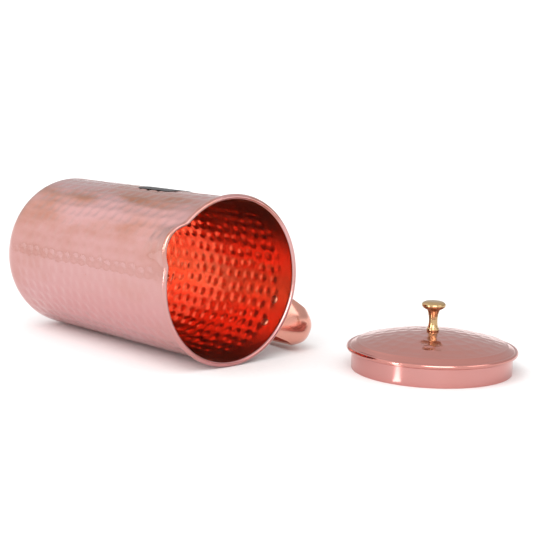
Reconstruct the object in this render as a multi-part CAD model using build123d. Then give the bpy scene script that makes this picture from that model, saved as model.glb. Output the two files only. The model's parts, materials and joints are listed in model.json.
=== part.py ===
from build123d import *
import math
import os

os.makedirs("parts", exist_ok=True)

# Copper water jug lying on its side, with its lid set down beside it.
# Millimetres, +Z up. The jug is modelled upright in its own frame (foot at z = 0, handle
# towards +X, pouring lip towards -X) and the lid in a frame of its own (skirt edge at
# z = 0). Both are then set down on one floor, and the origin is the centre of the footprint.

# jug body
JUG_HEIGHT = 191.8
WALL_RADIUS = 52.0
SHEET = 0.9
FOOT_CORNER = 16.5
RIM_BEAD_RADIUS = 1.7

# pouring lip: a round lobe pushed out of the wall, opposite the handle
LIP_RADIUS = 16.2
LIP_REACH = 6.0
LIP_DEPTH = 30.0
LIP_BLEND = 9.0

# handle: a channel of bent sheet with its open side towards the wall
HANDLE_SHEET = 1.0
HANDLE_WIDTH = 24.0
HANDLE_DEPTH = 7.0
HANDLE_TOP = JUG_HEIGHT - 9.0
HANDLE_RISE = 7.0
HANDLE_LEAN = 3.0
HANDLE_REACH = 85.44
HANDLE_ELBOW = JUG_HEIGHT - 68.0
HANDLE_BOTTOM = JUG_HEIGHT - 126.0
HANDLE_BEND = 16.0
TAB_HEIGHT = 16.0

# rivets that hold the handle's tabs
RIVET_RADIUS = 1.6
RIVET_HEAD_RADIUS = 2.8
RIVET_HEAD_HEIGHT = 1.3
RIVET_SPACING = 16.4
RIVET_INSET = 5.0
UPPER_RIVETS = HANDLE_TOP - RIVET_INSET
LOWER_RIVETS = HANDLE_BOTTOM - TAB_HEIGHT / 4

# plain label stuck on the wall
LABEL_LENGTH = 37.0
LABEL_WIDTH = 30.0
LABEL_SHEET = 0.15
LABEL_HEIGHT = 116.0
LABEL_AZIMUTH = 110.0
LABEL_CORNER = 4.0

# lid
SKIRT_RADIUS = 50.72
SKIRT_SHEET = 0.8
FLANGE_RADIUS = 53.95
FLANGE_BEAD_RADIUS = 1.6
FLANGE_HEIGHT = 13.5
BEVEL_OUTER_RADIUS = 51.6
BEVEL_OUTER_HEIGHT = 15.0
SHOULDER_RADIUS = 47.5
SHOULDER_HEIGHT = 17.3
LID_APEX = 24.8

# lid knob and its fastening
KNOB_HEIGHT = 19.4
KNOB_CAP_RADIUS = 7.7
KNOB_STEM_RADIUS = 2.8
KNOB_COLLAR_RADIUS = 3.95
KNOB_COLLAR_HEIGHT = 1.8
KNOB_WAIST_HEIGHT = 6.0
KNOB_NECK_RADIUS = 4.1
KNOB_CAP_UNDERSIDE = 13.6
KNOB_CAP_WIDEST = 16.5
KNOB_CAP_FLARE = (1, 0.3)
SCREW_RADIUS = 2.0
SCREW_LENGTH = 9.0
SCREW_HEAD_RADIUS = 3.6
SCREW_HEAD_HEIGHT = 2.2
SCREW_CLEARANCE = 0.25
SCREW_SLOT = 1.0
WASHER_RADIUS = 5.0
WASHER_SHEET = 0.8

# how the two lie on the floor
HANDLE_DROP = 30.5
LID_OFFSET = (79.66, 97.49)

RIM_HEIGHT = JUG_HEIGHT - RIM_BEAD_RADIUS
RIM_RADIUS = WALL_RADIUS - SHEET + RIM_BEAD_RADIUS
WALL_BOTTOM = FOOT_CORNER


def lobe(reach, radius, height):
    """Circle of the pouring lip at one height, its far side the given reach past the wall."""
    return Plane((-(WALL_RADIUS + reach - LIP_RADIUS), 0, height)) * Circle(radius)


def lip_solid(inset):
    """Slanted lobe that the pouring lip is pressed into, shrunk by the sheet for its inside."""
    low = lobe(0, LIP_RADIUS - inset, RIM_HEIGHT - LIP_DEPTH)
    high = lobe(LIP_REACH, LIP_RADIUS - inset, RIM_HEIGHT)
    return loft([low.face(), high.face()], ruled=True)


def wall_core(inset):
    """The wall's round body joined with its pouring lip."""
    height = RIM_HEIGHT - WALL_BOTTOM
    body = Location((0, 0, WALL_BOTTOM)) * Cylinder(
        WALL_RADIUS - inset, height, align=(Align.CENTER, Align.CENTER, Align.MIN)
    )
    return body + lip_solid(inset)


def mouth_outline(radius, lip_radius):
    """Closed outline of the mouth: a round, a lip opposite the handle, and a blend each side."""
    offset = WALL_RADIUS + LIP_REACH - LIP_RADIUS
    to_blend = radius + LIP_BLEND
    lip_to_blend = lip_radius + LIP_BLEND
    along = (to_blend**2 - lip_to_blend**2 + offset**2) / (2 * offset)
    across = math.sqrt(to_blend**2 - along**2)
    on_round = Vector(-along, across) * (radius / to_blend)
    on_lip = Vector(-offset, 0) + Vector(offset - along, across) * (lip_radius / lip_to_blend)
    blend = Vector(-along, across)
    middle = blend + ((on_round + on_lip) * 0.5 - blend).normalized() * LIP_BLEND
    flip = [Vector(point.X, -point.Y) for point in (on_round, middle, on_lip)]
    return Wire([
        ThreePointArc(on_round, (radius, 0), flip[0]),
        ThreePointArc(flip[0], flip[1], flip[2]),
        ThreePointArc(flip[2], (-offset - lip_radius, 0), on_lip),
        ThreePointArc(on_lip, middle, on_round),
    ])


def rim_bead():
    """Rolled edge: a round bead that follows the mouth and its pouring lip."""
    path = mouth_outline(RIM_RADIUS, LIP_RADIUS + RIM_RADIUS - WALL_RADIUS)
    path = Location((0, 0, RIM_HEIGHT)) * path
    section = Plane(path @ 0, z_dir=path % 0) * Circle(RIM_BEAD_RADIUS)
    return sweep(section, path=path)


def rivet_places(height):
    """Azimuths and height of the two rivets that hold one tab."""
    half = math.degrees(RIVET_SPACING / 2 / WALL_RADIUS)
    return [(-half, height), (half, height)]


def radial(azimuth, height):
    """Plane on the jug's axis whose Z points outwards at an azimuth and height."""
    outward = (math.cos(math.radians(azimuth)), math.sin(math.radians(azimuth)), 0)
    return Plane((0, 0, height), x_dir=(0, 0, 1), z_dir=outward)


def drill(azimuth, height):
    """Cutter for one rivet's hole, long enough to clear the wall and the tab."""
    bit = Cylinder(RIVET_RADIUS, 2 * FOOT_CORNER)
    return radial(azimuth, height) * Location((0, 0, WALL_RADIUS)) * bit


def rivet_head():
    """Low dome, flat side down at z = 0."""
    ball = (RIVET_HEAD_RADIUS**2 + RIVET_HEAD_HEIGHT**2) / (2 * RIVET_HEAD_HEIGHT)
    dome = Location((0, 0, RIVET_HEAD_HEIGHT - ball)) * Sphere(ball)
    return split(dome, bisect_by=Plane.XY, keep=Keep.TOP)


def rivet(azimuth, height):
    """One rivet: a shank through wall and tab, a head inside the jug and one on the tab."""
    frame = radial(azimuth, height)
    bore = WALL_RADIUS - SHEET
    low = math.sqrt(bore**2 - RIVET_HEAD_RADIUS**2)
    high = WALL_RADIUS + HANDLE_SHEET
    shank = Cylinder(RIVET_RADIUS, high - low, align=(Align.CENTER, Align.CENTER, Align.MIN))
    inside = frame * Location((0, 0, low), (180, 0, 0)) * rivet_head()
    outside = frame * Location((0, 0, high)) * rivet_head()
    return inside + outside + frame * Location((0, 0, low)) * shank


def shell_patch(inner, sheet, low, high, half_width, azimuth):
    """Patch of a cylinder shell between two heights, centred on an azimuth."""
    height = high - low
    align = (Align.CENTER, Align.CENTER, Align.MIN)
    ring = Cylinder(inner + sheet, height, align=align) - Cylinder(inner, height, align=align)
    window = Box(2 * inner, 2 * half_width, height, align=(Align.MIN, Align.CENTER, Align.MIN))
    return Location((0, 0, low), (0, 0, azimuth)) * (ring & window)


def grip_face(inset):
    """Side view of all that lies inside the strap's outer face, shrunk by an inset."""
    inner = WALL_RADIUS / 2
    run = HANDLE_REACH - WALL_RADIUS
    rise = HANDLE_RISE * (WALL_RADIUS - inner) / run
    slope = (HANDLE_ELBOW - HANDLE_BOTTOM) / run
    start = (inner, HANDLE_TOP - rise)
    shoulder = (HANDLE_REACH - HANDLE_LEAN, HANDLE_TOP + HANDLE_RISE)
    elbow = (HANDLE_REACH, HANDLE_ELBOW)
    end = (inner, HANDLE_BOTTOM - (WALL_RADIUS - inner) * slope)
    outer = FilletPolyline(start, shoulder, elbow, end, radius=HANDLE_BEND)
    face = make_face([outer.edges(), Line(end, start)])
    return offset(face, -inset, kind=Kind.INTERSECTION) if inset else face


def grip_prism(inset, half_width):
    """The strap's side view drawn out to a width."""
    return extrude(Plane.XZ * grip_face(inset), half_width, both=True)


def handle():
    """Channel of bent sheet, open to the wall, with the tabs that are riveted to it."""
    half = HANDLE_WIDTH / 2
    channel = grip_prism(0, half) - grip_prism(HANDLE_DEPTH, 2 * half)
    channel -= grip_prism(HANDLE_SHEET, half - HANDLE_SHEET)
    channel -= Cylinder(WALL_RADIUS, 3 * JUG_HEIGHT)
    high = HANDLE_TOP - HANDLE_SHEET / 2
    low = HANDLE_BOTTOM - TAB_HEIGHT / 2
    sides = half - HANDLE_SHEET / 2
    tops = shell_patch(WALL_RADIUS, HANDLE_SHEET, high - TAB_HEIGHT, high, sides, 0)
    feet = shell_patch(WALL_RADIUS, HANDLE_SHEET, low, low + TAB_HEIGHT, sides, 0)
    whole = channel + tops + feet
    for azimuth, height in rivet_places(UPPER_RIVETS) + rivet_places(LOWER_RIVETS):
        whole -= drill(azimuth, height)
    return whole


def jug_wall():
    """Hammered body of one sheet, open at both ends, with its lip and rolled rim."""
    wall = wall_core(0) - wall_core(SHEET)
    wall = wall + rim_bead()
    for azimuth, height in rivet_places(UPPER_RIVETS) + rivet_places(LOWER_RIVETS):
        wall -= drill(azimuth, height)
    return wall


def jug_base():
    """Drawn cup that closes the foot, butted and brazed to the wall."""
    flat = WALL_RADIUS - FOOT_CORNER
    half = math.sqrt(0.5)
    inner_corner = FOOT_CORNER - SHEET
    outer_mid = (flat + FOOT_CORNER * half, FOOT_CORNER - FOOT_CORNER * half)
    inner_mid = (flat + inner_corner * half, FOOT_CORNER - inner_corner * half)
    edges = [
        Line((0, 0), (flat, 0)),
        ThreePointArc((flat, 0), outer_mid, (WALL_RADIUS, FOOT_CORNER)),
        Line((WALL_RADIUS, FOOT_CORNER), (WALL_RADIUS - SHEET, FOOT_CORNER)),
        ThreePointArc((WALL_RADIUS - SHEET, FOOT_CORNER), inner_mid, (flat, SHEET)),
        Line((flat, SHEET), (0, SHEET)),
        Line((0, SHEET), (0, 0)),
    ]
    return revolve(Plane.XZ * make_face(Wire(edges)), axis=Axis.Z)


def label():
    """Plain sticker with rounded corners, bent round the wall."""
    low = LABEL_HEIGHT - LABEL_LENGTH / 2
    high = LABEL_HEIGHT + LABEL_LENGTH / 2
    patch = shell_patch(WALL_RADIUS, LABEL_SHEET, low, high, LABEL_WIDTH / 2, LABEL_AZIMUTH)
    outline = RectangleRounded(LABEL_LENGTH, LABEL_WIDTH, LABEL_CORNER)
    cutter = radial(LABEL_AZIMUTH, LABEL_HEIGHT) * extrude(outline, 2 * WALL_RADIUS)
    return patch & cutter


def dome_height(radius, drop):
    """Height of the lid's dome at a radius, lowered by the sheet for its underside."""
    rise = LID_APEX - SHOULDER_HEIGHT
    ball = (SHOULDER_RADIUS**2 + rise**2) / (2 * rise)
    return LID_APEX - ball + math.sqrt((ball - drop) ** 2 - radius**2)


def bevel_underside(radius):
    """Height of the underside of the lid's bevel at a radius."""
    run = BEVEL_OUTER_RADIUS - SHOULDER_RADIUS
    fall = SHOULDER_HEIGHT - BEVEL_OUTER_HEIGHT
    drop = SHEET * math.hypot(run, fall) / run
    return SHOULDER_HEIGHT - (radius - SHOULDER_RADIUS) * fall / run - drop


def lid_edge():
    """Rolled edge of the lid: the bead that rests on the jug's rim."""
    bead = Torus(FLANGE_RADIUS - FLANGE_BEAD_RADIUS, FLANGE_BEAD_RADIUS)
    return Location((0, 0, FLANGE_HEIGHT)) * bead


def lid_top():
    """Domed disc: hammered crown and smooth bevel, drilled for its screw."""
    hole = SCREW_RADIUS + SCREW_CLEARANCE
    inner_shoulder = SHOULDER_RADIUS - SHEET / 4
    crown_mid = SHOULDER_RADIUS / 2
    hole_edge = (hole, dome_height(hole, 0))
    shoulder = (SHOULDER_RADIUS, SHOULDER_HEIGHT)
    outer_arc = ThreePointArc(hole_edge, (crown_mid, dome_height(crown_mid, 0)), shoulder)
    inner_end = (inner_shoulder, bevel_underside(inner_shoulder))
    inner_arc = ThreePointArc(
        inner_end, (crown_mid, dome_height(crown_mid, SHEET)), (hole, dome_height(hole, SHEET))
    )
    bevel_end = (BEVEL_OUTER_RADIUS, BEVEL_OUTER_HEIGHT)
    under_end = (BEVEL_OUTER_RADIUS, bevel_underside(BEVEL_OUTER_RADIUS))
    edges = [
        outer_arc,
        Line(shoulder, bevel_end),
        Line(bevel_end, under_end),
        Line(under_end, inner_end),
        inner_arc,
        Line((hole, dome_height(hole, SHEET)), hole_edge),
    ]
    sheet = revolve(Plane.XZ * make_face(Wire(edges)), axis=Axis.Z)
    return sheet - lid_edge()


def lid_skirt():
    """Upright ring that drops into the jug's mouth, brazed under the bevel."""
    inner = SKIRT_RADIUS - SKIRT_SHEET
    outline = Polygon(
        (inner, 0),
        (SKIRT_RADIUS, 0),
        (SKIRT_RADIUS, bevel_underside(SKIRT_RADIUS)),
        (inner, bevel_underside(inner)),
        align=None,
    )
    return revolve(Plane.XZ * outline, axis=Axis.Z)


def lid_knob():
    """Turned knob: collar, waisted stem and rounded cap, tapped from below."""
    foot = (KNOB_COLLAR_RADIUS, 0)
    collar = (KNOB_COLLAR_RADIUS, KNOB_COLLAR_HEIGHT)
    waist = (KNOB_STEM_RADIUS, KNOB_WAIST_HEIGHT)
    neck = (KNOB_NECK_RADIUS, KNOB_CAP_UNDERSIDE)
    widest = (KNOB_CAP_RADIUS, KNOB_CAP_WIDEST)
    top = (0, KNOB_HEIGHT)
    rounded = [
        Line((0, 0), foot),
        Line(foot, collar),
        Spline(collar, waist, neck),
        Spline(neck, widest, top, tangents=(KNOB_CAP_FLARE, (-1, 0))),
        Line(top, (0, 0)),
    ]
    body = revolve(Plane.XZ * make_face(Wire(rounded)), axis=Axis.Z)
    depth = SCREW_LENGTH - SHEET - WASHER_SHEET
    tapped = Cylinder(SCREW_RADIUS, depth, align=(Align.CENTER, Align.CENTER, Align.MIN))
    return Location((0, 0, LID_APEX)) * (body - tapped)


def knob_washer():
    """Washer between the screw's head and the lid's underside."""
    ring = Cylinder(WASHER_RADIUS, WASHER_SHEET) - Cylinder(SCREW_RADIUS, WASHER_SHEET)
    seat = dome_height(WASHER_RADIUS, SHEET)
    return Location((0, 0, seat - WASHER_SHEET / 2)) * ring


def knob_screw():
    """Pan-head screw that pulls the knob down on the lid."""
    seat = dome_height(WASHER_RADIUS, SHEET) - WASHER_SHEET
    length = LID_APEX - seat + SCREW_LENGTH - SHEET - WASHER_SHEET
    shank = Cylinder(SCREW_RADIUS, length, align=(Align.CENTER, Align.CENTER, Align.MIN))
    hung = (Align.CENTER, Align.CENTER, Align.MAX)
    head = Cylinder(SCREW_HEAD_RADIUS, SCREW_HEAD_HEIGHT, align=hung)
    head = fillet(head.edges().group_by(Axis.Z)[0], SCREW_HEAD_HEIGHT / 2)
    slot = Box(2 * SCREW_HEAD_RADIUS, SCREW_SLOT, SCREW_HEAD_HEIGHT)
    slot = Location((0, 0, -SCREW_HEAD_HEIGHT)) * slot
    return Location((0, 0, seat)) * (shank + head - slot)


def lying():
    """Places the jug on its side: mouth to +X, raised a little by the rolled rim."""
    run = RIM_HEIGHT - FOOT_CORNER
    lift = RIM_RADIUS + RIM_BEAD_RADIUS - WALL_RADIUS
    tilt = math.degrees(math.atan2(lift, run))
    drop = math.radians(HANDLE_DROP)
    turned = Plane((0, 0, 0), x_dir=(0, math.cos(drop), -math.sin(drop)), z_dir=(1, 0, 0))
    return Location((0, 0, 0), (0, -tilt, 0)) * turned.location


def rivet_pair(height):
    """The two rivets of one tab, as separate solids."""
    return Compound([rivet(*place).solid() for place in rivet_places(height)])


def main():
    jug_parts = {
        "jug_wall": jug_wall(),
        "jug_base": jug_base(),
        "handle": handle(),
        "upper_handle_rivets": rivet_pair(UPPER_RIVETS),
        "lower_handle_rivets": rivet_pair(LOWER_RIVETS),
        "label": label(),
    }
    lid_parts = {
        "lid_top": lid_top(),
        "lid_edge": lid_edge(),
        "lid_skirt": lid_skirt(),
        "lid_knob": lid_knob(),
        "knob_screw": knob_screw(),
        "knob_washer": knob_washer(),
    }
    placed = {name: lying() * shape for name, shape in jug_parts.items()}
    wall_box = placed["jug_wall"].bounding_box()
    mouth = wall_box.max.X
    to_floor = Location((0, 0, -wall_box.min.Z))
    placed = {name: to_floor * shape for name, shape in placed.items()}
    beside = Location((mouth + LID_OFFSET[0], LID_OFFSET[1], 0))
    placed.update({name: beside * shape for name, shape in lid_parts.items()})

    box = Compound([solid for shape in placed.values() for solid in shape.solids()]).bounding_box()
    centred = Location((-box.center().X, -box.center().Y, -box.min.Z))
    for name, shape in placed.items():
        export_step(centred * shape, f"parts/{name}.step")


main()
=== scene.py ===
"""Copper water jug lying on its side beside its lid: camera, light, meshes and materials.

The jug is shaped upright in its own frame, foot at z = 0, handle towards +X and pouring
lip towards -X, and the lid in its own frame, skirt edge at z = 0. Each mesh is then
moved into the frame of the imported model. Metres throughout.
"""
import json
import math

import bmesh
import bpy
import numpy as np
from mathutils import Matrix, Vector


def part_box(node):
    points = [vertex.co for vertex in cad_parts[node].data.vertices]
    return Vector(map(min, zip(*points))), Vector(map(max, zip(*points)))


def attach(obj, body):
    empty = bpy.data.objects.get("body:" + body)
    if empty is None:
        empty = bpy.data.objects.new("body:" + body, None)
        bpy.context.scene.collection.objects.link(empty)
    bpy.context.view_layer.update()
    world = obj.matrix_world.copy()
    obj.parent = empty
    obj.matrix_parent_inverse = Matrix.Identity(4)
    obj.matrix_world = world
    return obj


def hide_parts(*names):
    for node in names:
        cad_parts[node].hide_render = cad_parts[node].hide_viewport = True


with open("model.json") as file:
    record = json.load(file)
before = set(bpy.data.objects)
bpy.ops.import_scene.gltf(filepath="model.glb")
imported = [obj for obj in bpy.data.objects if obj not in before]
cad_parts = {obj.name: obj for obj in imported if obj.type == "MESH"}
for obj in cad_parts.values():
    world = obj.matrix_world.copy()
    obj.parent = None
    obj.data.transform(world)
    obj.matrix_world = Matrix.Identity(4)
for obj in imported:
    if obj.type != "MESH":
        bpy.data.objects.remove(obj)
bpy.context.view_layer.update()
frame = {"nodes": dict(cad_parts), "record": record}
nodes = frame["nodes"]
MM = 0.001

# ---------------------------------------------------------------- sizes of the jug
WALL_RADIUS = 52 * MM
SHEET = 0.9 * MM
JUG_HEIGHT = 191.8 * MM
FOOT_CORNER = 16.5 * MM
BEAD_RADIUS = 1.7 * MM
BEAD_HEIGHT = JUG_HEIGHT - BEAD_RADIUS
BEAD_CENTRE = WALL_RADIUS - SHEET + BEAD_RADIUS
LIP_RADIUS = 16.2 * MM
LIP_REACH = 6 * MM
LIP_DEPTH = 30 * MM
LIP_SOFTNESS = 0.9 * MM
LIP_CURVE = 1.25
HANDLE_SHEET = 1.0 * MM
HANDLE_EDGE_CURVE = 2.7
TAB_HALF_WIDTH = 12 * MM
TAB_GAP = 0.02 * MM
RIVET_RADIUS = 1.6 * MM
RIVET_HEAD_RADIUS = 2.8 * MM
RIVET_HEAD_HEIGHT = 1.3 * MM
LABEL_LENGTH = 37 * MM
LABEL_WIDTH = 30 * MM
LABEL_CORNER = 4 * MM
LABEL_GAP = 0.1 * MM
LABEL_SHEET = 0.12 * MM

# ---------------------------------------------------------------- hammer marks
MARK_ROWS = 40
MARK_PITCH = 9.0 * MM
MARK_CURVE = 1.5
BUMP_REACH = 3.5 * MM
BUMP_HEIGHT = 0.6 * MM
DENT_REACH = 4.2 * MM
DENT_DEPTH = 0.6 * MM
SWELL_HEIGHT = 0.12 * MM
DOME_RING_PITCH = 7.5 * MM
DOME_MARK_SPACING = 8 * MM
DOME_MARK_REACH = 4.6 * MM
DOME_MARK_SHIFT = 1.6 * MM
DOME_MARK_DEPTH = 0.28 * MM

# ---------------------------------------------------------------- sizes of the lid
SKIRT_RADIUS = 50.72 * MM
SKIRT_SHEET = 0.8 * MM
FLANGE_RADIUS = 53.95 * MM
FLANGE_BEAD = 1.6 * MM
FLANGE_HEIGHT = 13.5 * MM
BEVEL_RADIUS = 51.6 * MM
BEVEL_HEIGHT = 15.0 * MM
SHOULDER_RADIUS = 47.5 * MM
SHOULDER_HEIGHT = 17.3 * MM
LID_APEX = 24.8 * MM
SCREW_HOLE = 2.25 * MM
SHOULDER_CREST = 0.3 * MM


# ---------------------------------------------------------------- frames
def jug_matrix():
    """The jug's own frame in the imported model: foot, mouth direction and handle side."""
    mount = frame["record"]["mounts"][0]
    foot = Vector(mount["pos_m"])
    up = -Vector(mount["axis"]).normalized()
    low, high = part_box("upper_handle_rivets")
    side = (low + high) / 2 - foot
    side = (side - up * side.dot(up)).normalized()
    turn = Matrix((side, up.cross(side), up)).transposed().to_4x4()
    return Matrix.Translation(foot) @ turn


def lid_matrix():
    """The lid's own frame: the middle of its skirt, on the floor."""
    low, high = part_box("lid_skirt")
    middle = (low + high) / 2
    return Matrix.Translation((middle.x, middle.y, low.z))


JUG = jug_matrix()
LID = lid_matrix()


# ---------------------------------------------------------------- mesh helpers
def add_mesh(name, points, faces, place, material, smooth=True):
    """A mesh object from points in a local frame, moved into the model's frame."""
    mesh = bpy.data.meshes.new(name)
    mesh.from_pydata([place @ Vector(p) for p in points], [], faces)
    mesh.validate()
    mesh.polygons.foreach_set("use_smooth", [smooth] * len(mesh.polygons))
    piece = bpy.data.objects.new(name, mesh)
    bpy.context.scene.collection.objects.link(piece)
    mesh.materials.append(material)
    return piece


def ring_faces(rings, around, closed_loop=False):
    """Quads between successive rings of equal count, and back to the first if closed."""
    faces = []
    last = rings if closed_loop else rings - 1
    for i in range(last):
        j = (i + 1) % rings
        for k in range(around):
            m = (k + 1) % around
            faces.append((i * around + k, i * around + m, j * around + m, j * around + k))
    return faces


def lathe(name, profile, around, place, material):
    """A closed body turned from a profile of (radius, height); the ends may touch the axis."""
    angles = np.linspace(0, 2 * math.pi, around, endpoint=False)
    points = [(r * math.cos(a), r * math.sin(a), z) for r, z in profile for a in angles]
    faces = ring_faces(len(profile), around, closed_loop=True)
    piece = add_mesh(name, points, faces, place, material)
    weld(piece)
    return piece


def weld(piece):
    """Merges points that meet, as on the axis of a lathe, and faces the surface outwards."""
    body = bmesh.new()
    body.from_mesh(piece.data)
    bmesh.ops.remove_doubles(body, verts=body.verts, dist=1e-6)
    bmesh.ops.dissolve_degenerate(body, dist=1e-7, edges=body.edges)
    bmesh.ops.recalc_face_normals(body, faces=body.faces)
    body.to_mesh(piece.data)
    body.free()


def arc(centre, radius, start, end, steps):
    """Points on an arc of a profile, angles in degrees."""
    angles = np.radians(np.linspace(start, end, steps))
    return [(centre[0] + radius * math.cos(a), centre[1] + radius * math.sin(a)) for a in angles]


def line(start, end, steps):
    """Points on a straight run of a profile, both ends included."""
    return [tuple(p) for p in np.linspace(start, end, steps)]


# ---------------------------------------------------------------- hammered surface
def scatter(row, column, salt):
    """A repeatable number from 0 to 1 for each mark of the hammer."""
    mixed = np.sin(row * 12.9898 + column * 78.233 + salt * 37.719) * 43758.5453
    return mixed - np.floor(mixed)


def round_mark(aside, ahead, size):
    """Depth of one round mark, 1 in its middle and 0 from its edge on."""
    return np.clip(1 - (aside**2 + ahead**2) / size**2, 0, 1) ** MARK_CURVE


def hammer_marks(azimuth, height, reach):
    """How deep in a hammer mark each point lies, 0 to 1. The rows of marks run along the jug."""
    across = azimuth / (2 * math.pi) * MARK_ROWS
    row_width = 2 * math.pi * WALL_RADIUS / MARK_ROWS
    deepest = np.zeros_like(across)
    for row_step in (-1, 0, 1):
        row = np.floor(across) + row_step
        named = np.mod(row, MARK_ROWS)
        along = height / MARK_PITCH + 0.5 * np.mod(named, 2) + 0.3 * np.sin(named * 0.9)
        for column_step in (-1, 0, 1):
            column = np.floor(along) + column_step
            aside = across - row - 0.5 - 0.28 * (scatter(named, column, 1) - 0.5)
            ahead = along - column - 0.5 - 0.3 * (scatter(named, column, 2) - 0.5)
            size = reach * (0.86 + 0.28 * scatter(named, column, 3))
            mark = round_mark(aside * row_width, ahead * MARK_PITCH, size)
            deepest = np.maximum(deepest, mark * (0.7 + 0.3 * scatter(named, column, 4)))
    return deepest


def smooth_step(value, low, high):
    """0 below low, 1 above high, smooth between."""
    t = np.clip((value - low) / (high - low), 0, 1)
    return t * t * (3 - 2 * t)


def lip_push(azimuth, height):
    """How far the pouring lip pushes the wall out at each point."""
    rise = np.clip((height - BEAD_HEIGHT + LIP_DEPTH) / LIP_DEPTH, 0, 1) ** LIP_CURVE
    centre = WALL_RADIUS + LIP_REACH * rise - LIP_RADIUS
    turn = np.mod(azimuth, 2 * math.pi) - math.pi
    room = LIP_RADIUS**2 - (centre * np.sin(turn)) ** 2
    lobe = centre * np.cos(turn) + np.sqrt(np.maximum(room, 0))
    excess = np.where((room > 0) & (np.cos(turn) > 0), lobe - WALL_RADIUS, -LIP_RADIUS)
    soft = LIP_SOFTNESS * np.log1p(np.exp(excess / LIP_SOFTNESS))
    return soft * smooth_step(rise, 0.0, 0.25)


# ---------------------------------------------------------------- jug
def under_rim(height, from_rim, to_rim):
    """1 well below the rim, fading to 0 between two distances below its bead."""
    return 1 - smooth_step(height, BEAD_HEIGHT - from_rim, BEAD_HEIGHT - to_rim)


def jug_wall(material_outside, material_inside):
    """The wall as one closed shell: dented outside, rolled rim, bumps of the same marks inside."""
    around = 360
    outer_top = BEAD_HEIGHT - math.sqrt(BEAD_RADIUS**2 - (BEAD_CENTRE - WALL_RADIUS) ** 2)
    outer = line((WALL_RADIUS, FOOT_CORNER), (WALL_RADIUS, outer_top), 100)
    bead_start = math.degrees(math.atan2(outer_top - BEAD_HEIGHT, WALL_RADIUS - BEAD_CENTRE))
    bead = arc((BEAD_CENTRE, BEAD_HEIGHT), BEAD_RADIUS, bead_start, 180, 20)
    bore = WALL_RADIUS - SHEET
    inner = line((bore, BEAD_HEIGHT), (bore, FOOT_CORNER), 150)
    profile = outer + bead[1:-1] + inner
    azimuth = np.linspace(0, 2 * math.pi, around, endpoint=False)
    angle, radius = np.meshgrid(azimuth, [p[0] for p in profile])
    height = np.meshgrid(azimuth, [p[1] for p in profile])[1]
    is_outer = np.arange(len(profile))[:, None] < len(outer)
    is_inner = np.arange(len(profile))[:, None] >= len(outer) + len(bead) - 2
    above_foot = smooth_step(height, FOOT_CORNER + 1 * MM, FOOT_CORNER + 9 * MM)
    bump = hammer_marks(angle, height, BUMP_REACH) * under_rim(height, 17 * MM, 9 * MM)
    dent = hammer_marks(angle, height, DENT_REACH) * under_rim(height, 14 * MM, 5 * MM)
    swell = np.sin(3 * angle + 40 * height) * np.sin(2 * angle - 25 * height + 1.0)
    swell = swell * under_rim(height, 20 * MM, 4 * MM)
    radius = radius + lip_push(angle, height)
    radius = radius - above_foot * (is_inner * bump * BUMP_HEIGHT + is_outer * dent * DENT_DEPTH)
    radius = radius + above_foot * swell * SWELL_HEIGHT
    points = np.stack([radius * np.cos(angle), radius * np.sin(angle), height], -1).reshape(-1, 3)
    faces = ring_faces(len(profile), around, closed_loop=True)
    piece = add_mesh("jug_wall_shell", points, faces, JUG, material_outside)
    piece.data.materials.append(material_inside)
    first_inner = (len(outer) + len(bead) - 3) * around
    last_inner = (len(profile) - 1) * around
    side = [1 if first_inner <= i < last_inner else 0 for i in range(len(piece.data.polygons))]
    piece.data.polygons.foreach_set("material_index", side)
    piece.data.set_sharp_from_angle(angle=math.radians(50))
    return piece


def jug_base(material_outside, material_inside):
    """The drawn cup that closes the foot: flat, with a wide round corner."""
    flat = WALL_RADIUS - FOOT_CORNER
    outside = line((0, 0), (flat, 0), 14)[:-1] + arc((flat, FOOT_CORNER), FOOT_CORNER, -90, 0, 20)
    inside = arc((flat, FOOT_CORNER), FOOT_CORNER - SHEET, 0, -90, 20)
    inside += line((flat, SHEET), (0, SHEET), 14)[1:]
    piece = lathe("jug_base_shell", outside + inside, 180, JUG, material_outside)
    piece.data.materials.append(material_inside)
    inward = JUG.to_3x3().inverted()
    foot = JUG.inverted()
    for face in piece.data.polygons:
        middle = foot @ face.center
        normal = inward @ face.normal
        faces_inside = normal.dot(Vector((0, 0, 2 * FOOT_CORNER)) - middle) > 0
        is_edge = middle.z > FOOT_CORNER - 0.01 * MM
        face.material_index = 1 if faces_inside and not is_edge else 0
    piece.data.set_sharp_from_angle(angle=math.radians(50))
    return piece


# ---------------------------------------------------------------- handle
def bezier(points, t):
    """Point of a cubic curve."""
    weights = [(1 - t) ** 3, 3 * t * (1 - t) ** 2, 3 * t * t * (1 - t), t**3]
    return sum(w * np.array(p) for w, p in zip(weights, points))


def handle_spine(t):
    """Middle line of the handle's outer face, (distance from the axis, height), and its direction."""
    split = 0.38
    root = (51.5 * MM, JUG_HEIGHT - 9 * MM)
    shoulder = (89.5 * MM, JUG_HEIGHT - 23 * MM)
    end = (51.5 * MM, JUG_HEIGHT - 125 * MM)
    top = [root, (67 * MM, JUG_HEIGHT - 1 * MM), (89 * MM, JUG_HEIGHT + 5 * MM), shoulder]
    side = [shoulder, (91 * MM, JUG_HEIGHT - 55 * MM), (84 * MM, JUG_HEIGHT - 98 * MM), end]
    if t < split:
        curve, s = top, t / split
    else:
        curve, s = side, (t - split) / (1 - split)
    step = 0.001
    ahead = bezier(curve, min(1, s + step)) - bezier(curve, max(0, s - step))
    return bezier(curve, s), ahead / np.linalg.norm(ahead)


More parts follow.
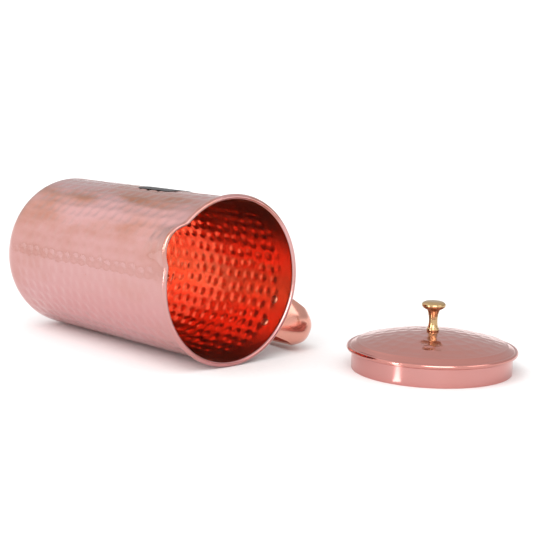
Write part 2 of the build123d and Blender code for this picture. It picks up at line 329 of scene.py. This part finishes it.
def handle(material):
    """A channel of sheet with a rounded back, its edges turned to the wall, and its two tabs."""
    stations = 110
    across = 34
    narrowing = 0.7
    spots = [0, 0.12, 0.22, 0.34, 0.6, 1.0]
    widths = [14.5 * MM, 12.9 * MM, 12.6 * MM, 12.2 * MM, 11.5 * MM, 12.0 * MM]
    depths = [1.2 * MM, 3.5 * MM, 7.0 * MM, 9.8 * MM, 8.0 * MM, 1.5 * MM]
    v = np.linspace(-1, 1, across)
    points = []
    for t in np.linspace(0, 1, stations):
        place, ahead = handle_spine(t)
        out = np.array([-ahead[1], ahead[0]])
        width = np.interp(t, spots, widths)
        depth = np.interp(t, spots, depths)
        hug = 1 - smooth_step(t, 0, 0.1) + smooth_step(t, 0.92, 1)
        for sign, inset in ((1, 0), (-1, HANDLE_SHEET)):
            y = sign * v * (width - narrowing * inset)
            drop = depth * np.abs(v) ** HANDLE_EDGE_CURVE + inset
            x = place[0] - out[0] * drop - hug * (WALL_RADIUS - np.sqrt(WALL_RADIUS**2 - y**2))
            z = place[1] - out[1] * drop
            points += list(zip(x, y, z))
    ring = 2 * across
    faces = ring_faces(stations, ring)
    for start in (0, (stations - 1) * ring):
        for k in range(across - 1):
            mirror = ring - 1 - k
            faces.append((start + k, start + k + 1, start + mirror - 1, start + mirror))
    tabs = [(JUG_HEIGHT - 25 * MM, JUG_HEIGHT - 9.3 * MM), (JUG_HEIGHT - 134 * MM, JUG_HEIGHT - 118 * MM)]
    for low, high in tabs:
        add_tab(points, faces, low, high)
    piece = add_mesh("handle_channel", points, faces, JUG, material)
    weld(piece)
    piece.data.set_sharp_from_angle(angle=math.radians(55))
    return piece


def add_tab(points, faces, low, high):
    """Adds a tab of the handle: a closed plate bent round the wall between two heights."""
    steps = 16
    inner = WALL_RADIUS + TAB_GAP
    outer = inner + HANDLE_SHEET
    half = TAB_HALF_WIDTH / inner
    start = len(points)
    for a in np.linspace(-half, half, steps):
        for r, z in ((inner, low), (outer, low), (outer, high), (inner, high)):
            points.append((r * math.cos(a), r * math.sin(a), z))
    for i in range(steps - 1):
        for k in range(4):
            m = (k + 1) % 4
            a = start + i * 4
            faces.append((a + k, a + m, a + 4 + m, a + 4 + k))
    end = start + (steps - 1) * 4
    faces.append((start, start + 1, start + 2, start + 3))
    faces.append((end + 3, end + 2, end + 1, end))


def rivets(name, node, material):
    """The pair of rivets of a CAD node: a domed head inside the jug, a shank and an outer head."""
    points, faces = [], []
    around = 28
    up = Vector((0, 0, 1))
    outline = rivet_outline()
    local = JUG.inverted()
    corners = [local @ v.co for v in nodes[node].data.vertices]
    height = (min(c.z for c in corners) + max(c.z for c in corners)) / 2
    spread = (max(c.y for c in corners) - min(c.y for c in corners)) / 2 - RIVET_HEAD_RADIUS
    for side in (-1, 1):
        azimuth = math.asin(side * spread / WALL_RADIUS)
        out = Vector((math.cos(azimuth), math.sin(azimuth), 0))
        turn = Matrix((up, out.cross(up), out)).transposed()
        start = len(points)
        for r, z in outline:
            for a in np.linspace(0, 2 * math.pi, around, endpoint=False):
                points.append(turn @ Vector((r * math.cos(a), r * math.sin(a), z)) + up * height)
        faces += [tuple(start + i for i in f) for f in ring_faces(len(outline), around)]
    piece = add_mesh(name, points, faces, JUG, material)
    weld(piece)
    piece.data.set_sharp_from_angle(angle=math.radians(50))
    return piece


def rivet_outline():
    """Profile of a rivet, (radius, distance from the jug's axis): inner head, shank, outer head."""
    sunk = 0.08 * MM
    low = WALL_RADIUS - SHEET - sunk
    high = WALL_RADIUS + HANDLE_SHEET
    turns = np.linspace(0, math.pi / 2, 9)
    inside = [(RIVET_HEAD_RADIUS * math.sin(a), low - RIVET_HEAD_HEIGHT * math.cos(a)) for a in turns]
    outside = [(RIVET_HEAD_RADIUS * math.cos(a), high + RIVET_HEAD_HEIGHT * math.sin(a)) for a in turns]
    return inside + [(RIVET_RADIUS, low), (RIVET_RADIUS, high)] + outside


def label(material):
    """A plain sticker bent round the wall, its corners rounded."""
    low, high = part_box("label")
    middle = JUG.inverted() @ ((low + high) / 2)
    azimuth = math.atan2(middle.y, middle.x)
    radius = WALL_RADIUS + LABEL_GAP
    rows, columns = 50, 40
    stride = columns + 1
    points = []
    for lift in (0.0, LABEL_SHEET):
        for i in range(rows + 1):
            along = (i / rows - 0.5) * LABEL_LENGTH
            inset = max(0.0, abs(along) - (LABEL_LENGTH / 2 - LABEL_CORNER))
            rounding = math.sqrt(max(LABEL_CORNER**2 - inset**2, 0))
            half = LABEL_WIDTH / 2 - LABEL_CORNER + rounding
            for k in range(stride):
                a = azimuth + (k / columns * 2 - 1) * half / radius
                r = radius + lift
                points.append((r * math.cos(a), r * math.sin(a), middle.z + along))
    layer = (rows + 1) * stride
    faces = []
    for i in range(rows):
        for k in range(columns):
            a = i * stride + k
            b = a + stride
            faces.append((layer + a, layer + a + 1, layer + b + 1, layer + b))
            faces.append((a, b, b + 1, a + 1))
    rim = list(range(columns))
    rim += [i * stride + columns for i in range(rows)]
    rim += [rows * stride + k for k in range(columns, 0, -1)]
    rim += [i * stride for i in range(rows, 0, -1)]
    for a, b in zip(rim, rim[1:] + rim[:1]):
        faces.append((a, b, layer + b, layer + a))
    piece = add_mesh("plain_label", points, faces, JUG, material)
    weld(piece)
    piece.data.set_sharp_from_angle(angle=math.radians(50))
    return piece


# ---------------------------------------------------------------- lid
def dome_height(radius, drop=0.0):
    """Height of the lid's dome at a distance from its middle."""
    rise = LID_APEX - SHOULDER_HEIGHT
    ball = (SHOULDER_RADIUS**2 + rise**2) / (2 * rise)
    return LID_APEX - ball + math.sqrt((ball - drop) ** 2 - radius**2)


def lid_top(material):
    """Hammered dome and smooth bevel, with a faint crest between them, as one closed sheet."""
    crown = [(r, dome_height(r)) for r in np.linspace(SCREW_HOLE, SHOULDER_RADIUS - 1 * MM, 110)]
    shoulder = [
        (SHOULDER_RADIUS - SHOULDER_CREST, SHOULDER_HEIGHT + SHOULDER_CREST),
        (SHOULDER_RADIUS + SHOULDER_CREST, SHOULDER_HEIGHT),
    ]
    bevel = line((SHOULDER_RADIUS + 0.9 * MM, SHOULDER_HEIGHT - 0.55 * MM), (BEVEL_RADIUS, BEVEL_HEIGHT), 7)
    tuck = [(BEVEL_RADIUS + 0.2 * MM, BEVEL_HEIGHT - 0.4 * MM), (SKIRT_RADIUS, FLANGE_HEIGHT + 0.5 * MM)]
    under = [(r, dome_height(r, SHEET)) for r in np.linspace(SHOULDER_RADIUS - 0.6 * MM, SCREW_HOLE, 40)]
    profile = crown + shoulder + bevel + tuck + under
    around = 240
    azimuth = np.linspace(0, 2 * math.pi, around, endpoint=False)
    points = []
    for index, (r, z) in enumerate(profile):
        top = index < len(crown)
        lift = -dome_marks(azimuth, r) * DOME_MARK_DEPTH if top else np.zeros(around)
        points += list(zip(r * np.cos(azimuth), r * np.sin(azimuth), z + lift))
    faces = ring_faces(len(profile), around, closed_loop=True)
    piece = add_mesh("lid_dome", points, faces, LID, material)
    weld(piece)
    piece.data.set_sharp_from_angle(angle=math.radians(40))
    return piece


def lid_edge(material):
    """The rolled edge of the lid, a round bead."""
    centre = (FLANGE_RADIUS - FLANGE_BEAD, FLANGE_HEIGHT)
    bead = arc(centre, FLANGE_BEAD, 0, 360, 29)[:-1]
    return lathe("lid_rolled_edge", bead, 240, LID, material)


def dome_marks(azimuth, radius):
    """Hammer marks on the dome, in rings about its middle that fade out at the shoulder."""
    deepest = np.zeros_like(azimuth)
    for ring_step in (-1, 0, 1):
        ring = math.floor(radius / DOME_RING_PITCH) + ring_step
        if ring < 1:
            continue
        ring_radius = (ring + 0.5) * DOME_RING_PITCH
        count = int(round(2 * math.pi * ring_radius / DOME_MARK_SPACING))
        across = azimuth / (2 * math.pi) * count + 0.37 * ring
        for step in (-1, 0, 1):
            spot = np.floor(across) + step
            named = np.mod(spot, count)
            aside = across - spot - 0.5 - 0.3 * (scatter(named, ring, 5) - 0.5)
            ahead = radius - ring_radius - DOME_MARK_SHIFT * (scatter(named, ring, 6) - 0.5)
            size = DOME_MARK_REACH * (0.85 + 0.3 * scatter(named, ring, 7))
            mark = round_mark(aside * DOME_MARK_SPACING, ahead, size)
            deepest = np.maximum(deepest, mark * (0.6 + 0.4 * scatter(named, ring, 8)))
    fade = 1 - smooth_step(radius, SHOULDER_RADIUS - 5 * MM, SHOULDER_RADIUS - 1 * MM)
    return deepest * fade


def lid_skirt(material):
    """The upright ring under the lid, its lower edge eased."""
    ease = 0.35 * MM
    inner = SKIRT_RADIUS - SKIRT_SHEET
    profile = arc((inner + ease, ease), ease, 180, 270, 5) + arc((SKIRT_RADIUS - ease, ease), ease, -90, 0, 5)
    profile += line((SKIRT_RADIUS, 1 * MM), (SKIRT_RADIUS, 14.4 * MM), 14) + [(inner, 14.8 * MM)]
    profile += line((inner, 14 * MM), (inner, 1 * MM), 10)
    piece = lathe("lid_skirt_ring", profile, 240, LID, material)
    piece.data.set_sharp_from_angle(angle=math.radians(40))
    return piece


def lid_knob(material):
    """Turned knob: stepped collar, waisted stem, a lip under the cap and a rounded cap."""
    collar = [(0, 0), (3.7, 0), (3.95, 0.25), (3.95, 1.55), (3.75, 1.8), (3.4, 2.0), (3.3, 2.6)]
    stem = [(2.95, 4.0), (2.76, 5.4), (2.76, 7.4), (2.95, 9.4), (3.3, 11.2), (3.7, 12.6), (3.95, 13.2)]
    underside = [(4.1, 13.35), (4.15, 13.6), (5.0, 13.95), (6.2, 14.6), (7.2, 15.45), (7.68, 16.4)]
    cap = [(7.55, 17.3), (6.9, 18.15), (5.6, 18.85), (3.8, 19.22), (1.9, 19.37), (0, 19.4)]
    curve = np.array(collar + stem + underside + cap) * MM
    dense = resample(curve, 130)
    profile = [(max(r, 0), z + LID_APEX) for r, z in dense]
    piece = lathe("turned_knob", profile, 72, LID, material)
    piece.data.set_sharp_from_angle(angle=math.radians(38))
    return piece


def resample(curve, count):
    """The curve through the given points at even spacing, rounded a little at each corner."""
    lengths = np.concatenate([[0], np.cumsum(np.linalg.norm(np.diff(curve, axis=0), axis=1))])
    spots = np.linspace(0, lengths[-1], count)
    even = np.stack([np.interp(spots, lengths, curve[:, i]) for i in (0, 1)], -1)
    for _ in range(2):
        even[1:-1] = 0.25 * even[:-2] + 0.5 * even[1:-1] + 0.25 * even[2:]
    return even


# ---------------------------------------------------------------- materials
COPPER_OUTSIDE = (0.61, 0.335, 0.325)
# painted shade: the darker rose of the jug's lower side, towards the floor
COPPER_PAINTED_UNDERSHADE = (0.52, 0.245, 0.25)
PATINA_ORANGE = (0.66, 0.26, 0.13)
PATINA_BROWN = (0.26, 0.09, 0.045)
# painted light: the inside copper and its stain are a brighter, warmer copy of the outside copper, standing
# in for light bouncing round inside the jug
COPPER_INSIDE_PAINTED_BOUNCE = (0.90, 0.46, 0.34)
COPPER_INSIDE_STAIN = (0.87, 0.41, 0.29)
# painted light: the deep red that light takes after many bounces inside the jug
COPPER_INSIDE_PAINTED_RED_BOUNCE = (1.0, 0.37, 0.27)


def new_material(name):
    """An empty node material with its surface shader."""
    material = bpy.data.materials.new(name)
    material.use_nodes = True
    tree = material.node_tree
    return material, tree, tree.nodes["Principled BSDF"]


def add_node(tree, kind, **values):
    """A shader node with some of its inputs or settings given by name."""
    node = tree.nodes.new(kind)
    for key, value in values.items():
        if hasattr(node, key):
            setattr(node, key, value)
        else:
            node.inputs[key.replace("_", " ")].default_value = value
    return node


def noise(tree, coordinates, scale, detail, stretch=None):
    """Noise on the object's own coordinates, stretched along its axes if asked."""
    source = coordinates
    if stretch:
        mapping = add_node(tree, "ShaderNodeMapping")
        mapping.inputs["Scale"].default_value = stretch
        tree.links.new(coordinates, mapping.inputs["Vector"])
        source = mapping.outputs["Vector"]
    texture = add_node(tree, "ShaderNodeTexNoise", Scale=scale, Detail=detail)
    tree.links.new(source, texture.inputs["Vector"])
    return texture.outputs["Fac"]


def ramp(tree, source, stops):
    """A colour ramp over a value: stops are (position, colour)."""
    node = tree.nodes.new("ShaderNodeValToRGB")
    elements = node.color_ramp.elements
    while len(elements) < len(stops):
        elements.new(0.5)
    for element, (position, colour) in zip(elements, stops):
        element.position = position
        element.color = (*colour, 1)
    tree.links.new(source, node.inputs["Fac"])
    return node.outputs["Color"]


def stretch_range(tree, source, from_low, from_high, to_low, to_high):
    """A value moved from one range to another, held at its ends."""
    node = tree.nodes.new("ShaderNodeMapRange")
    values = (from_low, from_high, to_low, to_high)
    for socket, value in zip(("From Min", "From Max", "To Min", "To Max"), values):
        node.inputs[socket].default_value = value
    tree.links.new(source, node.inputs["Value"])
    return node.outputs["Result"]


def blend_colours(tree, factor, first, second):
    """Mixes two colours by a factor; each is a colour or a socket."""
    node = tree.nodes.new("ShaderNodeMix")
    node.data_type = "RGBA"
    tree.links.new(factor, node.inputs[0])
    for socket, value in ((node.inputs[6], first), (node.inputs[7], second)):
        if isinstance(value, tuple):
            socket.default_value = (*value, 1)
        else:
            tree.links.new(value, socket)
    return node.outputs[2]


def uneven_gloss(tree, shader, cloudy, lined):
    """Roughness as the sum of a cloudy share and a finely lined one."""
    gloss = add_node(tree, "ShaderNodeMath", operation="ADD")
    tree.links.new(cloudy, gloss.inputs[0])
    tree.links.new(lined, gloss.inputs[1])
    tree.links.new(gloss.outputs["Value"], shader.inputs["Roughness"])


def relief(tree, shader, waves, lines, wave_strength, line_strength):
    """A slight ripple of the sheet with fine scratches on top of it."""
    ripple = add_node(tree, "ShaderNodeBump", Strength=wave_strength, Distance=0.4 * MM)
    tree.links.new(waves, ripple.inputs["Height"])
    scratches = add_node(tree, "ShaderNodeBump", Strength=line_strength, Distance=0.01 * MM)
    tree.links.new(lines, scratches.inputs["Height"])
    tree.links.new(ripple.outputs["Normal"], scratches.inputs["Normal"])
    tree.links.new(scratches.outputs["Normal"], shader.inputs["Normal"])


def metal(name, colour, stain, roughness, bump, scratch=(1, 1, 1)):
    """Polished metal with a soft stain, fine scratches, uneven gloss and a slight ripple."""
    material, tree, shader = new_material(name)
    coordinates = tree.nodes.new("ShaderNodeTexCoord").outputs["Object"]
    broad = noise(tree, coordinates, 22.0, 4.0)
    fine = noise(tree, coordinates, 900.0, 2.0, stretch=scratch)
    middle = noise(tree, coordinates, 130.0, 3.0)
    mask = stretch_range(tree, broad, 0.5, 0.72, 0.0, 0.5)
    tint = blend_colours(tree, mask, colour, stain)
    shader.inputs["Metallic"].default_value = 1.0
    tree.links.new(tint, shader.inputs["Base Color"])
    cloudy = stretch_range(tree, broad, 0.3, 0.7, roughness, roughness + 0.08)
    lined = stretch_range(tree, fine, 0.3, 0.7, 0.0, 0.05)
    uneven_gloss(tree, shader, cloudy, lined)
    relief(tree, shader, middle, fine, bump, bump / 2)
    return material


def outside_copper():
    """Rosy copper with brown and orange patches of patina above, and a deeper rose below as painted shade."""
    material, tree, shader = new_material("copper_outside")
    coordinates = tree.nodes.new("ShaderNodeTexCoord").outputs["Object"]
    broad = noise(tree, coordinates, 16.0, 5.0, stretch=(0.6, 1.3, 1.3))
    streaks = noise(tree, coordinates, 30.0, 6.0, stretch=(0.5, 1.6, 1.6))
    fine = noise(tree, coordinates, 900.0, 2.0, stretch=(0.4, 1, 1))
    middle = noise(tree, coordinates, 120.0, 3.0)
    patina = blend_colours(tree, streaks, PATINA_ORANGE, PATINA_BROWN)
    amount = add_node(tree, "ShaderNodeMath", operation="MULTIPLY")
    tree.links.new(stretch_range(tree, broad, 0.45, 0.55, 0.0, 1.0), amount.inputs[0])
    tree.links.new(stretch_range(tree, streaks, 0.38, 0.62, 0.1, 0.85), amount.inputs[1])
    split = tree.nodes.new("ShaderNodeSeparateXYZ")
    tree.links.new(coordinates, split.inputs["Vector"])
    upper = add_node(tree, "ShaderNodeMath", operation="MULTIPLY")
    above = stretch_range(tree, split.outputs["Z"], 65 * MM, 95 * MM, 0.25, 1.0)
    tree.links.new(above, upper.inputs[0])
    tree.links.new(amount.outputs["Value"], upper.inputs[1])
    # painted shade: the copper darkens towards the floor over the lowest 60 mm of height
    under = stretch_range(tree, split.outputs["Z"], 0.0, 60 * MM, 1.0, 0.0)
    clean_copper_painted_shade = blend_colours(tree, under, COPPER_OUTSIDE, COPPER_PAINTED_UNDERSHADE)
    tint = blend_colours(tree, upper.outputs["Value"], clean_copper_painted_shade, patina)
    tree.links.new(tint, shader.inputs["Base Color"])
    shader.inputs["Metallic"].default_value = 1.0
    cloudy = stretch_range(tree, broad, 0.35, 0.65, 0.13, 0.20)
    lined = stretch_range(tree, fine, 0.3, 0.7, 0.0, 0.06)
    uneven_gloss(tree, shader, cloudy, lined)
    relief(tree, shader, middle, fine, 0.12, 0.1)
    return material


def inside_copper():
    """Bare warm copper, brightened as painted bounce light, that turns redder towards the top and the bottom
    of the lying jug as painted light of the deep red bounce.
    """
    material = metal("copper_inside", COPPER_INSIDE_PAINTED_BOUNCE, COPPER_INSIDE_STAIN, 0.15, 0.2)
    tree = material.node_tree
    shader = tree.nodes["Principled BSDF"]
    tint = shader.inputs["Base Color"].links[0].from_socket
    split = tree.nodes.new("ShaderNodeSeparateXYZ")
    place = tree.nodes.new("ShaderNodeTexCoord").outputs["Object"]
    tree.links.new(place, split.inputs["Vector"])
    rise = add_node(tree, "ShaderNodeMath", operation="SUBTRACT")
    tree.links.new(split.outputs["Z"], rise.inputs[0])
    rise.inputs[1].default_value = WALL_RADIUS
    away = add_node(tree, "ShaderNodeMath", operation="ABSOLUTE")
    tree.links.new(rise.outputs["Value"], away.inputs[0])
    # painted light: redder copper towards the top and the bottom of the lying jug, where light has bounced
    # most inside
    mask = stretch_range(tree, away.outputs["Value"], 18 * MM, 50 * MM, 0.0, 1.0)
    painted_red_bounce = blend_colours(tree, mask, tint, COPPER_INSIDE_PAINTED_RED_BOUNCE)
    tree.links.new(painted_red_bounce, shader.inputs["Base Color"])
    return material


def sticker():
    """Dark matt paper with a faint weave and scuffs."""
    material, tree, shader = new_material("label_paper")
    coordinates = tree.nodes.new("ShaderNodeTexCoord").outputs["Object"]
    scuffs = noise(tree, coordinates, 120.0, 5.0)
    weave = noise(tree, coordinates, 1800.0, 2.0)
    tint = ramp(tree, scuffs, [(0.3, (0.012, 0.011, 0.014)), (0.7, (0.035, 0.028, 0.032))])
    tree.links.new(tint, shader.inputs["Base Color"])
    tree.links.new(stretch_range(tree, scuffs, 0.3, 0.7, 0.42, 0.62), shader.inputs["Roughness"])
    paper = add_node(tree, "ShaderNodeBump", Strength=0.3, Distance=0.04 * MM)
    tree.links.new(weave, paper.inputs["Height"])
    tree.links.new(paper.outputs["Normal"], shader.inputs["Normal"])
    return material


def floor_paper():
    """White paper with a barely visible tooth."""
    material, tree, shader = new_material("studio_floor")
    coordinates = tree.nodes.new("ShaderNodeTexCoord").outputs["Object"]
    tooth = noise(tree, coordinates, 300.0, 4.0)
    tint = ramp(tree, tooth, [(0.3, (0.93, 0.93, 0.93)), (0.7, (0.96, 0.96, 0.96))])
    tree.links.new(tint, shader.inputs["Base Color"])
    tree.links.new(stretch_range(tree, tooth, 0.3, 0.7, 0.7, 0.85), shader.inputs["Roughness"])
    shader.inputs["Specular IOR Level"].default_value = 0.1
    return material


OUTSIDE = outside_copper()
INSIDE = inside_copper()
HANDLE_METAL = metal("copper_handle", (0.70, 0.335, 0.265), (0.63, 0.28, 0.21), 0.12, 0.12)
LID_METAL = metal("copper_lid", (0.555, 0.24, 0.21), (0.53, 0.22, 0.18), 0.10, 0.12)
SKIRT_METAL = metal("copper_skirt", (0.56, 0.26, 0.24), (0.52, 0.22, 0.19), 0.14, 0.06)
RIVET_METAL = metal("copper_rivets", (0.62, 0.22, 0.14), (0.46, 0.15, 0.09), 0.30, 0.1)
BRASS = metal("brass_knob", (0.50, 0.335, 0.17), (0.42, 0.26, 0.12), 0.10, 0.06, scratch=(0.3, 0.3, 3))
STEEL = metal("zinc_steel", (0.62, 0.61, 0.59), (0.48, 0.47, 0.46), 0.25, 0.1)
PAPER = sticker()


# ---------------------------------------------------------------- the pieces on their bodies
def mount_piece(piece, body, node):
    """Lets a piece ride its body and stand in for one CAD node."""
    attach(piece, body)
    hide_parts(node)


mount_piece(jug_wall(OUTSIDE, INSIDE), "jug", "jug_wall")
mount_piece(jug_base(OUTSIDE, INSIDE), "jug", "jug_base")
mount_piece(handle(HANDLE_METAL), "jug", "handle")
mount_piece(rivets("rivets_under_rim", "upper_handle_rivets", RIVET_METAL), "jug", "upper_handle_rivets")
mount_piece(rivets("rivets_low", "lower_handle_rivets", RIVET_METAL), "jug", "lower_handle_rivets")
mount_piece(label(PAPER), "jug", "label")
mount_piece(lid_top(LID_METAL), "lid", "lid_top")
mount_piece(lid_edge(LID_METAL), "lid", "lid_edge")
mount_piece(lid_skirt(SKIRT_METAL), "lid", "lid_skirt")
mount_piece(lid_knob(BRASS), "lid", "lid_knob")
for hidden in ("knob_screw", "knob_washer"):
    nodes[hidden].data.materials.clear()
    nodes[hidden].data.materials.append(STEEL)


# ---------------------------------------------------------------- floor, light and camera
def studio_floor():
    """A wide flat white sheet under the jug and its lid."""
    half = 3.0
    points = [(-half, -half, 0), (half, -half, 0), (half, half, 0), (-half, half, 0)]
    faces = [(0, 1, 2, 3)]
    floor = add_mesh("studio_floor", points, faces, Matrix.Identity(4), floor_paper(), smooth=False)


def area_light(name, place, target, width, height, power):
    """A soft box aimed at a point."""
    lamp = bpy.data.lights.new(name, "AREA")
    lamp.shape = "RECTANGLE"
    lamp.size = width
    lamp.size_y = height
    lamp.energy = power
    box = bpy.data.objects.new(name, lamp)
    box.location = place
    box.rotation_euler = (Vector(target) - Vector(place)).to_track_quat("-Z", "Y").to_euler()
    bpy.context.scene.collection.objects.link(box)
    return box


def mirrored_box(name, **settings):
    """A soft box that shows in polished metal but adds nothing to the floor."""
    box = area_light(name, **settings)
    box.visible_diffuse = False
    return box


def grey(value):
    """A neutral colour."""
    return (value, value, value)


def soft_sun(direction, strength, spread):
    """A broad even light that brightens the floor but isn't mirrored in the metal."""
    lamp = bpy.data.lights.new("soft_sun", "SUN")
    lamp.energy = strength
    lamp.angle = math.radians(spread)
    sun = bpy.data.objects.new("soft_sun", lamp)
    sun.rotation_euler = Vector(direction).to_track_quat("-Z", "Y").to_euler()
    sun.visible_glossy = False
    bpy.context.scene.collection.objects.link(sun)


def floor_glint():
    """A thin bright strip on the floor that the lid's upright ring mirrors as a streak."""
    middle = LID.translation
    size = {"width": 6 * MM, "height": 60 * MM, "power": 0.0032}
    strip = mirrored_box("floor_glint", place=(0, 0, 0), target=(0, 0, 1), **size)
    strip.location = (middle.x + 11.4 * MM, middle.y - 82.2 * MM, 1 * MM)
    strip.rotation_euler = (math.pi, 0, math.radians(-6.3))
    strip.visible_camera = False


def studio_world():
    """Surroundings: bright in front of the jug, behind it white at the horizon and grey above."""
    world = bpy.data.worlds.new("studio")
    bpy.context.scene.world = world
    world.use_nodes = True
    tree = world.node_tree
    sky = tree.nodes["Background"]
    direction = tree.nodes.new("ShaderNodeTexCoord").outputs["Generated"]
    split = tree.nodes.new("ShaderNodeSeparateXYZ")
    tree.links.new(direction, split.inputs["Vector"])
    far_stops = [(0.07, grey(1.0)), (0.14, grey(0.50)), (0.5, grey(0.60)), (0.95, grey(0.72))]
    near_stops = [(0.0, (0.82, 0.76, 0.70)), (0.12, (0.93, 0.89, 0.85)), (0.45, grey(1.0))]
    near_stops += [(0.72, grey(1.02)), (0.9, grey(0.80)), (1.0, grey(0.72))]
    behind = ramp(tree, split.outputs["Z"], far_stops)
    front = ramp(tree, split.outputs["Z"], near_stops)
    side = stretch_range(tree, split.outputs["Y"], -0.25, 0.3, 0.0, 1.0)
    tree.links.new(blend_colours(tree, side, front, behind), sky.inputs["Color"])
    sky.inputs["Strength"].default_value = 1.3


CAMERA_AHEAD = 634.553 * MM
CAMERA_ASIDE = -541.877 * MM
CAMERA_HEIGHT = 197.30 * MM
CAMERA_HEADING = math.radians(48.093)
CAMERA_PITCH = math.radians(-9.06)
CAMERA_ROLL = math.radians(1.288)
CAMERA_LENS = 91.68


def camera():
    """The camera, placed from the middle of the jug's mouth."""
    mount = frame["record"]["mounts"][0]
    up = -Vector(mount["axis"]).normalized()
    mouth = Vector(mount["pos_m"]) + up * JUG_HEIGHT
    place = Vector((mouth.x + CAMERA_AHEAD, mouth.y + CAMERA_ASIDE, CAMERA_HEIGHT))
    level_ahead = Vector((-math.sin(CAMERA_HEADING), math.cos(CAMERA_HEADING), 0))
    ahead = level_ahead * math.cos(CAMERA_PITCH) + Vector((0, 0, math.sin(CAMERA_PITCH)))
    level_right = Vector((math.cos(CAMERA_HEADING), math.sin(CAMERA_HEADING), 0))
    level_up = level_right.cross(ahead)
    right = level_right * math.cos(CAMERA_ROLL) + level_up * math.sin(CAMERA_ROLL)
    upward = level_up * math.cos(CAMERA_ROLL) - level_right * math.sin(CAMERA_ROLL)
    turn = Matrix((right, upward, -ahead)).transposed().to_4x4()
    lens = bpy.data.cameras.new("camera")
    lens.lens = CAMERA_LENS
    lens.sensor_width = 36
    eye = bpy.data.objects.new("camera", lens)
    eye.matrix_world = Matrix.Translation(place) @ turn
    bpy.context.scene.collection.objects.link(eye)
    bpy.context.scene.camera = eye


studio_floor()
studio_world()
soft_sun((-0.2, 0.75, -0.7), 1.5, 70)
mirrored_box("front_strip", place=(-0.05, -1.4, 0.3), target=(0.05, 0, 0.05),
             width=0.14, height=0.6, power=5)
floor_glint()
mirrored_box("mouth_box_front", place=(1.1, -0.75, 0.65), target=(0.03, -0.05, 0.05),
             width=0.9, height=0.9, power=12)
mirrored_box("mouth_box_side", place=(1.4, 0.45, 0.75), target=(0.03, -0.05, 0.05),
             width=0.8, height=0.8, power=3.5)
camera()
bpy.context.scene.view_settings.view_transform = "Standard"
